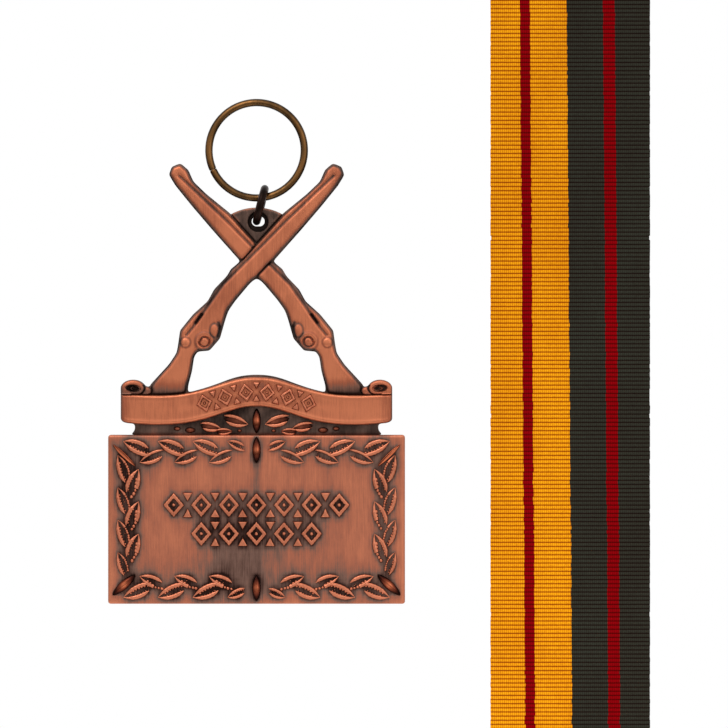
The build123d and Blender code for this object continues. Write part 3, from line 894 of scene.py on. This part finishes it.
def sculpt_spindle(node, face, turn, length, width, crease):
    """A polished bead, pointed at both ends, painted with a highlight along its crest and shade towards its
    ends and sides; the thin ones have a lengthwise crease, painted dark as shade, and one side in painted
    shade.
    """
    low, high = span(node)
    centre = np.array([(low[0] + high[0]) / 2, (low[2] + high[2]) / 2])
    along = np.linspace(-1, 1, 41)
    around = np.radians(np.linspace(-90, 90, 25))
    c, s = math.cos(math.radians(turn)), math.sin(math.radians(turn))
    rows = []
    dark_values = []
    for angle in around:
        radius = width / 2 * np.sqrt(np.clip(1 - along**2, 0, 1)) ** 1.25
        if crease:
            radius = radius * (1 - 0.2 * bell(angle - 0.42, 0.17) + 0.03 * math.cos(angle))
        v = radius * math.sin(angle)
        rise = radius * math.cos(angle) * 0.97
        u = along * length / 2
        y = face - rise + (SINK if abs(math.cos(angle)) < 1e-6 else 0)
        rows.append(np.column_stack([centre[0] + c * u - s * v, y, centre[1] + s * u + c * v]))
        # Painted light: a highlight along the crest, shade towards the ends and the sides.
        dark = 0.06 + 1.2 * np.abs(along) ** 1.4 + 0.55 * abs(math.sin(angle)) ** 2
        if crease:
            # Thin ones: painted shade in the crease and on one side, a highlight on the rest.
            dark = 0.4 * np.abs(along) ** 3 - 0.1 + 0.8 * bell(angle - 0.42, 0.24)
            dark = dark + 0.6 * max(0.0, -math.sin(angle)) ** 2
        dark_values.append(dark)
    n, m = len(along), len(around)
    faces = wrapped_faces(m, n)
    obj = make_object(node + "_polished", np.concatenate(rows), faces, spindle_metal, sharp=50)
    paint(obj, np.concatenate(dark_values))
    place(obj, BADGE, "dark_bronze", node)
    if face == panel_face:
        relief_samples.append(np.concatenate(rows)[:, [0, 2]])


sculpt_spindle("spindle_crest", ground_face, 90, *CREST_SPINDLE, False)
sculpt_spindle("spindle_panel_top", panel_face, 90, *SPINDLE, False)
sculpt_spindle("spindle_panel_bottom", panel_face, 90, *SPINDLE, False)
for side, name in ((-1, "left"), (1, "right")):
    sculpt_spindle("spindle_corner_bottom_" + name, panel_face, -side * CORNER_TURN, *CORNER_SPINDLE, False)
    sculpt_spindle("spindle_corner_top_" + name, panel_face, side * THIN_TURN, *THIN_SPINDLE, True)


# ------------------------------------------------------------------ inscription panel with its patina


def blurred(grid, sigma, axis):
    reach = int(3 * sigma) + 1
    kernel = np.exp(-0.5 * (np.arange(-reach, reach + 1) / sigma) ** 2)
    kernel /= kernel.sum()
    return np.apply_along_axis(lambda row: np.convolve(row, kernel, mode="same"), axis, grid)


PANEL_STEP, PANEL_EDGE, PANEL_CORNER = 0.24, 0.5, 0.55
STAIN_CELL = 0.3
TIGHT_STAIN, WIDE_STAIN, MOST_STAIN = 0.62, 0.72, 0.76
LOWER_STAIN, STREAK_STAIN = 0.4, 0.28


def sculpt_panel():
    """The panel on an even grid, stained where relief stands near and in the lower middle."""
    step, edge, corner = PANEL_STEP, PANEL_EDGE, PANEL_CORNER
    near = edge * (1 - np.cos(np.linspace(0, math.pi / 2, 7)))
    inner_x = np.linspace(-half_width + edge, half_width - edge, int(2 * half_width / step))[1:-1]
    inner_z = np.linspace(panel_foot + edge, panel_top - edge, int(2 * half_height / step))[1:-1]
    xs = np.concatenate([-half_width + near, inner_x, (half_width - near)[::-1]])
    zs = np.concatenate([panel_foot + near, inner_z, (panel_top - near)[::-1]])
    gx, gz = np.meshgrid(xs, zs, indexing="ij")
    dx = np.maximum(np.abs(gx) - (half_width - corner), 0)
    dz = np.maximum(np.abs(gz - panel_middle) - (half_height - corner), 0)
    reach = np.maximum(np.hypot(dx, dz), 1e-9)
    pull = np.where(reach > corner, corner / reach, 1.0)
    gx = np.sign(gx) * (np.minimum(np.abs(gx), half_width - corner) + dx * pull)
    rise = gz - panel_middle
    gz = panel_middle + np.sign(rise) * (np.minimum(np.abs(rise), half_height - corner) + dz * pull)
    gap = corner - np.minimum(reach, corner)
    points = np.column_stack([gx.ravel(), gz.ravel()])
    depth = 0.5 * (1 - rounded(gap.ravel(), corner)) + 0.022 * (1 + ripple(points, 6, 9, seed=19))
    rows, columns = gx.shape
    cell = STAIN_CELL
    cells = (int(2 * half_width / cell) + 1, int(2 * half_height / cell) + 1)
    covered = np.zeros(cells)
    for samples in relief_samples:
        i = np.clip(((samples[:, 0] + half_width) / cell).astype(int), 0, cells[0] - 1)
        j = np.clip(((samples[:, 1] - panel_foot) / cell).astype(int), 0, cells[1] - 1)
        covered[i, j] = 1
    tight = blurred(blurred(covered, 1.3, 0), 1.8, 1)
    wide = blurred(blurred(covered, 4.0, 0), 7.5, 1)
    i = np.clip(((gx + half_width) / cell).astype(int), 0, cells[0] - 1)
    j = np.clip(((gz - panel_foot) / cell).astype(int), 0, cells[1] - 1)
    shadow = (TIGHT_STAIN * tight + WIDE_STAIN * wide)[i, j].ravel()
    near_relief = np.minimum(shadow, MOST_STAIN)
    upper = np.clip((points[:, 1] - panel_middle) / half_height, -1, 1)
    darkness = 0.07 + near_relief + LOWER_STAIN * bell(upper + 0.55, 0.38) * bell(points[:, 0], 16.0)
    darkness += STREAK_STAIN * bell(points[:, 0], 1.0) * np.clip((upper - 0.1) / 0.3, 0, 1) * (upper < 0.8)
    darkness += 0.1 * ripple(points, 3, 9, seed=20) - 0.15 * (1 - rounded(gap.ravel(), corner))
    top = np.column_stack([points[:, 0], panel_face + depth, points[:, 1]])
    back = np.column_stack([points[:, 0], np.full(len(points), plate_back), points[:, 1]])
    faces = []
    for i in range(rows - 1):
        for j in range(columns - 1):
            a = i * columns + j
            faces.append((a, a + columns, a + columns + 1, a + 1))
    rim = [i * columns for i in range(rows)] + [(rows - 1) * columns + j for j in range(1, columns)]
    rim += [i * columns + columns - 1 for i in range(rows - 2, -1, -1)] + list(range(columns - 2, 0, -1))
    rear = {v: len(top) + n for n, v in enumerate(rim)}
    for a, b in zip(rim, rim[1:] + rim[:1]):
        faces.append((b, a, rear[a], rear[b]))
    faces.append(tuple(rear[v] for v in rim))
    verts = np.concatenate([top, back[rim]])
    obj = make_object("inscription_panel_sculpted", verts, faces, panel_metal)
    paint(obj, np.concatenate([darkness, np.full(len(rim), 0.9)]))
    place(obj, BADGE, "patina_copper", "inscription_panel")


sculpt_panel()


# ------------------------------------------------------------------ rings


def wire_ring(node, name, centre, top, across, centreline, wire, joint, gap, material, body, slot, seed):
    """Round wire in one turn about centre; its ends meet at joint degrees from top towards across. The wire
    is painted darker at its inner and outer sides as shade.
    """
    random = np.random.default_rng(seed)
    half_gap = math.degrees(gap / 2 / centreline)
    turn = np.radians(np.linspace(joint + half_gap, joint + 360 - half_gap, 241))
    normal = np.cross(top, across)
    around = np.linspace(0, 2 * math.pi, 32, endpoint=False)
    phases = random.uniform(0, 2 * math.pi, 6)
    wobble = sum(np.sin(turn * (k + 2) + phases[k]) / (k + 2) for k in range(6))
    rows = []
    dark_values = []
    for n, angle in enumerate(turn):
        radial = np.cos(angle) * top + np.sin(angle) * across
        closing = min(n, len(turn) - 1 - n)
        thick = wire / 2 * (1 - 0.015 * (1 + wobble[n])) * (0.9 if closing == 0 else 1.0)
        flat = radial[None] * np.cos(around)[:, None] + normal[None] * np.sin(around)[:, None]
        rows.append(centre + radial * centreline + thick * flat)
        # Painted shade at the wire's inner and outer sides, lighter along its front and back, over a random
        # tone.
        dark_values.append(0.18 + 0.75 * np.abs(np.cos(around)) ** 2 + 0.1 * wobble[n])
    m = len(around)
    faces = []
    for n in range(len(turn) - 1):
        for k in range(m):
            j = (k + 1) % m
            faces.append((n * m + k, n * m + j, (n + 1) * m + j, (n + 1) * m + k))
    faces.append(tuple(reversed(range(m))))
    faces.append(tuple((len(turn) - 1) * m + k for k in range(m)))
    obj = make_object(name, np.concatenate(rows), faces, material, sharp=60)
    paint(obj, np.concatenate(dark_values))
    place(obj, body, slot, node)


RING_JOINT, RING_GAP = 114.0, 0.06
LINK_JOINT, LINK_GAP = 70.0, 0.05

ring_centre = (ring_low + ring_high) / 2
ring_wire = ring_high[1] - ring_low[1]
ring_centreline = (ring_high[2] - ring_low[2] - ring_wire) / 2
up, right, towards = np.array([0.0, 0, 1]), np.array([1.0, 0, 0]), np.array([0.0, -1, 0])
wire_ring("suspension_ring", "suspension_ring_wire", ring_centre, up, -right, ring_centreline, ring_wire,
          RING_JOINT, RING_GAP, ring_metal, "ring", "antique_brass", 61)

link_centre = (link_low + link_high) / 2
link_centreline = (link_high[1] - link_low[1] - LINK_WIRE) / 2
link_top = np.array([math.sin(LINK_LEAN), 0, math.cos(LINK_LEAN)])
wire_ring("jump_ring", "jump_ring_wire", link_centre, link_top, towards * -1, link_centreline, LINK_WIRE,
          LINK_JOINT, LINK_GAP, link_metal, "link", "dark_bronze", 62)


# ------------------------------------------------------------------ ribbon

RIB_PITCH = 0.83
RIB_HEIGHT = 0.1
YARN_PITCH = 0.4
STRIPE_DRIFT = 0.036
YELLOW, RED, GREEN = (0.76, 0.25, 0.004), (0.225, 0.0005, 0.0022), (0.0275, 0.0238, 0.0172)
STRIPES = [(0.0, YELLOW), (0.181, RED), (0.244, YELLOW), (0.475, GREEN), (0.70, RED), (0.775, GREEN)]


def waves(tree, axis, pitch):
    """Humps from 0 to 1, one every pitch mm along an axis."""
    coordinates = tree.nodes.new("ShaderNodeTexCoord")
    split = tree.nodes.new("ShaderNodeSeparateXYZ")
    tree.links.new(coordinates.outputs["Object"], split.inputs["Vector"])
    turns = combine(tree, "MULTIPLY", split.outputs[axis], math.pi / (pitch * MM))
    return combine(tree, "ABSOLUTE", combine(tree, "SINE", turns))


def ribbon_material():
    material, tree, surface = shader("ribbed_silk")
    across = attribute(tree, "stripe")
    fold = attribute(tree, "rib")
    yarn = waves(tree, "X", YARN_PITCH)
    lint = noise(tree, (3.0, 3.0, 3.0), 5.0)
    fade = noise(tree, (0.06, 0.06, 0.03), 3.0)
    colour = ramp(tree, across, STRIPES, "CONSTANT")
    # Painted shade: darker in the furrows between the ribs and between the yarns, over random tone from lint
    # and fade.
    furrow_shade = remap(tree, fold, 0.0, 0.8, 0.28, 1.22)
    shade = combine(tree, "MULTIPLY", furrow_shade, remap(tree, yarn, 0.0, 0.8, 0.66, 1.12))
    shade = combine(tree, "MULTIPLY", shade, remap(tree, lint, 0.25, 0.75, 0.86, 1.12))
    shade = combine(tree, "MULTIPLY", shade, remap(tree, fade, 0.3, 0.7, 0.9, 1.06))
    tint = tree.nodes.new("ShaderNodeMix")
    tint.data_type = "RGBA"
    tint.blend_type = "MULTIPLY"
    tint.inputs["Factor"].default_value = 1.0
    grey = tree.nodes.new("ShaderNodeCombineColor")
    # The painted shade deepens green and blue faster, so the furrows turn more orange.
    deeper = combine(tree, "POWER", shade, 1.7)
    tree.links.new(shade, grey.inputs["Red"])
    for channel in ("Green", "Blue"):
        tree.links.new(deeper, grey.inputs[channel])
    tree.links.new(colour, tint.inputs["A"])
    tree.links.new(grey.outputs["Color"], tint.inputs["B"])
    tree.links.new(tint.outputs["Result"], surface.inputs["Base Color"])
    tree.links.new(remap(tree, lint, 0.3, 0.7, 0.62, 0.85), surface.inputs["Roughness"])
    surface.inputs["Sheen Weight"].default_value = 0.0
    surface.inputs["Specular IOR Level"].default_value = 0.02
    height = combine(tree, "ADD", yarn, remap(tree, lint, 0.2, 0.8, 0.0, 0.4))
    bump(tree, surface, height, 0.05, 0.6)
    return material


def weave_ribbon():
    """A strip with real ribs across it; both faces are ribbed and the two long edges are closed."""
    random = np.random.default_rng(71)
    width = strip_high[0] - strip_low[0]
    length = strip_high[2] - strip_low[2]
    thick = strip_high[1] - strip_low[1]
    ribs = round(length / RIB_PITCH)
    per_rib = 5
    rows = ribs * per_rib + 1
    columns = 44
    z = np.linspace(strip_high[2], strip_low[2], rows)
    x = np.linspace(strip_low[0], strip_high[0], columns)
    phase = np.arange(rows) / per_rib
    swell = np.abs(np.sin(phase * math.pi)) ** 0.7
    jitter = np.repeat(random.normal(0, 0.002, ribs + 1), per_rib)[:rows]
    edge_jitter = np.repeat(random.normal(0, 0.05, ribs + 1), per_rib)[:rows]
    xx, zz = np.meshgrid(x, z)
    side = np.abs(xx - (strip_low[0] + strip_high[0]) / 2) / (width / 2)
    wave = 0.05 * ripple(np.column_stack([xx.ravel(), zz.ravel()]), 9, 22, 72).reshape(xx.shape)
    xx = xx + np.where(side > 0.99, -np.sign(xx - strip_low[0] - width / 2) * np.abs(edge_jitter)[:, None], 0)
    half = (thick / 2 - RIB_HEIGHT) * np.clip((1.02 - side) / 0.06, 0.35, 1) + RIB_HEIGHT * swell[:, None]
    middle = (strip_low[1] + strip_high[1]) / 2
    front = np.column_stack([xx.ravel(), (middle - half + wave).ravel(), zz.ravel()])
    back = np.column_stack([xx.ravel(), (middle + half + wave).ravel(), zz.ravel()])
    count = len(front)
    faces = []
    for r in range(rows - 1):
        for c in range(columns - 1):
            a = r * columns + c
            faces.append((a, a + columns, a + columns + 1, a + 1))
            faces.append((count + a, count + a + 1, count + a + columns + 1, count + a + columns))
    rim = list(range(columns)) + [r * columns + columns - 1 for r in range(1, rows)]
    rim += list(range((rows - 1) * columns + columns - 2, (rows - 1) * columns - 1, -1))
    rim += [r * columns for r in range(rows - 2, 0, -1)]
    for a, b in zip(rim, rim[1:] + rim[:1]):
        faces.append((a, b, count + b, count + a))
    obj = make_object("ribbon_woven", np.concatenate([front, back]), faces, ribbon_material(), sharp=70)
    down = (strip_high[2] - zz) / length
    stripe = (xx - strip_low[0]) / width - STRIPE_DRIFT * down + jitter[:, None]
    stripe = np.clip(stripe, 0.001, 0.999).ravel()
    # The rib values drive the painted shade in the furrows.
    rib = np.broadcast_to(swell[:, None], xx.shape).ravel()
    paint(obj, np.concatenate([stripe, stripe]), "stripe")
    paint(obj, np.concatenate([rib, rib]), "rib")
    place(obj, "ribbon_strip", "striped_ribbon", "ribbon")
    return obj


weave_ribbon()


# ------------------------------------------------------------------ camera, light and floor

FRAME_WIDTH = 145.6
FRAME_X, FRAME_Z = 21.5, -51.6
LENS, SENSOR = 250.0, 36.0

camera_data = bpy.data.cameras.new("camera")
camera_data.lens = LENS
camera_data.sensor_width = SENSOR
camera = bpy.data.objects.new("camera", camera_data)
bpy.context.scene.collection.objects.link(camera)
camera.location = (FRAME_X * MM, (panel_face - FRAME_WIDTH * LENS / SENSOR) * MM, FRAME_Z * MM)
camera.rotation_euler = (math.pi / 2, 0, 0)
bpy.context.scene.camera = camera

# The surroundings' brightness from straight down (0) to straight up (1).
SKY_LEVELS = [(0.0, 0.12), (0.38, 0.3), (0.52, 0.85), (0.75, 1.15), (1.0, 1.3)]
SKY_STRENGTH = 0.8

world = bpy.data.worlds.new("studio")
world.use_nodes = True
bpy.context.scene.world = world
tree = world.node_tree
tree.nodes.clear()
output = tree.nodes.new("ShaderNodeOutputWorld")
path = tree.nodes.new("ShaderNodeLightPath")
pick = tree.nodes.new("ShaderNodeMixShader")
white = tree.nodes.new("ShaderNodeBackground")
white.inputs["Color"].default_value = (1, 1, 1, 1)
glow = tree.nodes.new("ShaderNodeBackground")
glow.inputs["Strength"].default_value = SKY_STRENGTH
direction = tree.nodes.new("ShaderNodeTexCoord")
split = tree.nodes.new("ShaderNodeSeparateXYZ")
tree.links.new(direction.outputs["Generated"], split.inputs["Vector"])
height = remap(tree, split.outputs["Z"], -1.0, 1.0, 0.0, 1.0)
sky = ramp(tree, height, [(share, (level,) * 3) for share, level in SKY_LEVELS])
tree.links.new(sky, glow.inputs["Color"])
tree.links.new(path.outputs["Is Camera Ray"], pick.inputs["Fac"])
tree.links.new(glow.outputs["Background"], pick.inputs[1])
tree.links.new(white.outputs["Background"], pick.inputs[2])
tree.links.new(pick.outputs["Shader"], output.inputs["Surface"])


def soft_light(name, place_mm, aim_mm, size_mm, power):
    data = bpy.data.lights.new(name, "AREA")
    data.size = size_mm * MM
    data.energy = power
    light = bpy.data.objects.new(name, data)
    bpy.context.scene.collection.objects.link(light)
    light.location = Vector(place_mm) * MM
    aim = (Vector(aim_mm) - Vector(place_mm)).normalized()
    light.rotation_mode = "QUATERNION"
    light.rotation_quaternion = aim.to_track_quat("-Z", "Y")


LIGHT_AIM = (20, 0, -50)

soft_light("key", (-160, -420, 420), LIGHT_AIM, 340, 1.04)
soft_light("fill", (330, -450, 60), LIGHT_AIM, 350, 0.26)

FLOOR_RADIUS = 200.0
FLOOR_DROP = 14.0
FLOOR_SIDES = 96

floor_mesh = bpy.data.meshes.new("floor")
floor_points = circle((FRAME_X, 0.0), FLOOR_RADIUS, FLOOR_SIDES)
floor_z = strip_low[2] - FLOOR_DROP
floor_corners = [(x * MM, y * MM, floor_z * MM) for x, y in floor_points]
floor_mesh.from_pydata(floor_corners, [], [tuple(range(FLOOR_SIDES))])
floor = bpy.data.objects.new("floor", floor_mesh)
bpy.context.scene.collection.objects.link(floor)
floor_material, _, floor_surface = shader("pale_floor")
floor_surface.inputs["Base Color"].default_value = (0.86, 0.86, 0.85, 1)
floor_surface.inputs["Roughness"].default_value = 0.9
floor_mesh.materials.append(floor_material)

bpy.context.scene.view_settings.view_transform = "Standard"
